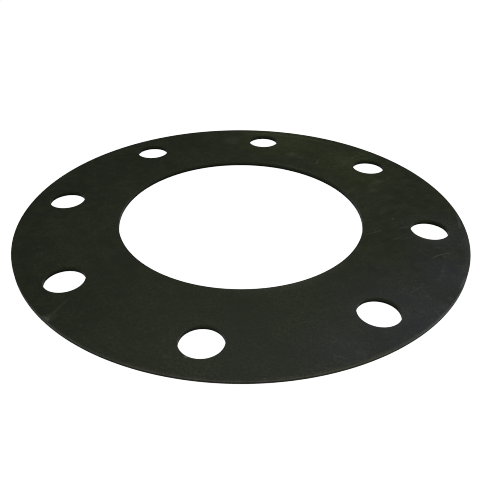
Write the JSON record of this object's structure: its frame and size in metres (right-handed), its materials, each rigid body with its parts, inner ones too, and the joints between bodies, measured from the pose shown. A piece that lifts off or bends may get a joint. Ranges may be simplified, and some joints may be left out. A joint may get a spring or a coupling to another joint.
{
  "type": "flange gasket",
  "caption": "Flat full-face rubber gasket for a pipe flange, a thin ring with a wide central bore and a circle of bolt holes near its rim.",
  "frame": {"origin": "centre of the bore on the underside, where the gasket lies on the surface below it", "axes": "+Z is the bore's axis and points up out of the sheet; +X and +Y lie in the sheet's plane and each passes midway between two bolt holes"},
  "size_m": [0.285, 0.285, 0.003],
  "materials": {
    "rubber_sheet": "matte"
  },
  "bodies": {
    "root": {"gasket": "rubber_sheet"}
  },
  "joints": []
}
